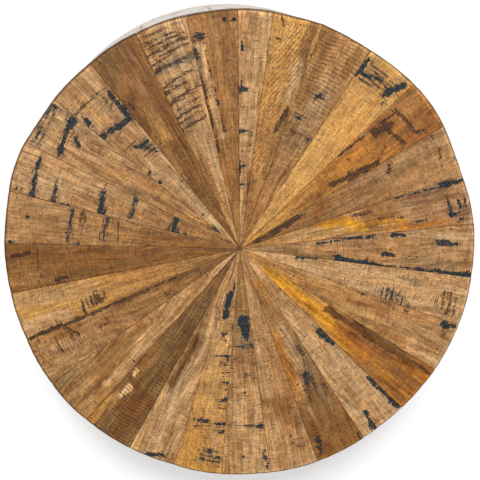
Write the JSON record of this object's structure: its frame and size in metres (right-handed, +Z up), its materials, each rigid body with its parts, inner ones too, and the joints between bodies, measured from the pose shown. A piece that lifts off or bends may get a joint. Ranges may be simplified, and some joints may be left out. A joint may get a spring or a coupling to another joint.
{
  "type": "wagon wheel table",
  "caption": "Round drum side table: a sunburst top of reclaimed wedge boards on a closed wall of upright staves.",
  "frame": {"origin": "on the floor, under the point where the top boards' tips meet", "axes": "+Z up, out of the table top; +Y lies 0.5 degrees short of the seam after the narrow make-up board; +X lies 5.7 degrees short of the first board's first seam"},
  "size_m": [0.5983, 0.6029, 0.45],
  "materials": {
    "top_boards": "sanded reclaimed mango wood, rubbed with oil",
    "wall_staves": "reclaimed softwood under a rubbed pale limewash",
    "plug": "dark wood filler",
    "plywood": "raw sanded birch plywood",
    "posts": "planed softwood",
    "screws": "zinc plated",
    "nails": "blackened bright steel",
    "glides": "moulded brown plastic on a steel pin"
  },
  "bodies": {
    "root": {"base_disc": "plywood", "board_screws": "screws", "centre_plug": "plug", "floor_glides": "glides", "post_1": "posts", "post_2": "posts", "post_3": "posts", "post_4": "posts", "post_screws": "screws", "stave_nails": "nails", "top_board_01": "top_boards", "top_board_02": "top_boards", "top_board_03": "top_boards", "top_board_04": "top_boards", "top_board_05": "top_boards", "top_board_06": "top_boards", "top_board_07": "top_boards", "top_board_08": "top_boards", "top_board_09": "top_boards", "top_board_10": "top_boards", "top_board_11": "top_boards", "top_board_12": "top_boards", "top_board_13": "top_boards", "top_board_14": "top_boards", "top_board_15": "top_boards", "top_board_16": "top_boards", "top_board_17": "top_boards", "top_board_18": "top_boards", "top_board_19": "top_boards", "top_board_20": "top_boards", "top_board_21": "top_boards", "top_board_22": "top_boards", "top_board_23": "top_boards", "top_board_24": "top_boards", "top_board_25": "top_boards", "top_board_26": "top_boards", "top_board_27": "top_boards", "top_board_28": "top_boards", "top_board_29": "top_boards", "top_deck": "plywood", "wall_stave_01": "wall_staves", "wall_stave_02": "wall_staves", "wall_stave_03": "wall_staves", "wall_stave_04": "wall_staves", "wall_stave_05": "wall_staves", "wall_stave_06": "wall_staves", "wall_stave_07": "wall_staves", "wall_stave_08": "wall_staves", "wall_stave_09": "wall_staves", "wall_stave_10": "wall_staves", "wall_stave_11": "wall_staves", "wall_stave_12": "wall_staves", "wall_stave_13": "wall_staves", "wall_stave_14": "wall_staves", "wall_stave_15": "wall_staves", "wall_stave_16": "wall_staves", "wall_stave_17": "wall_staves", "wall_stave_18": "wall_staves"}
  },
  "joints": []
}
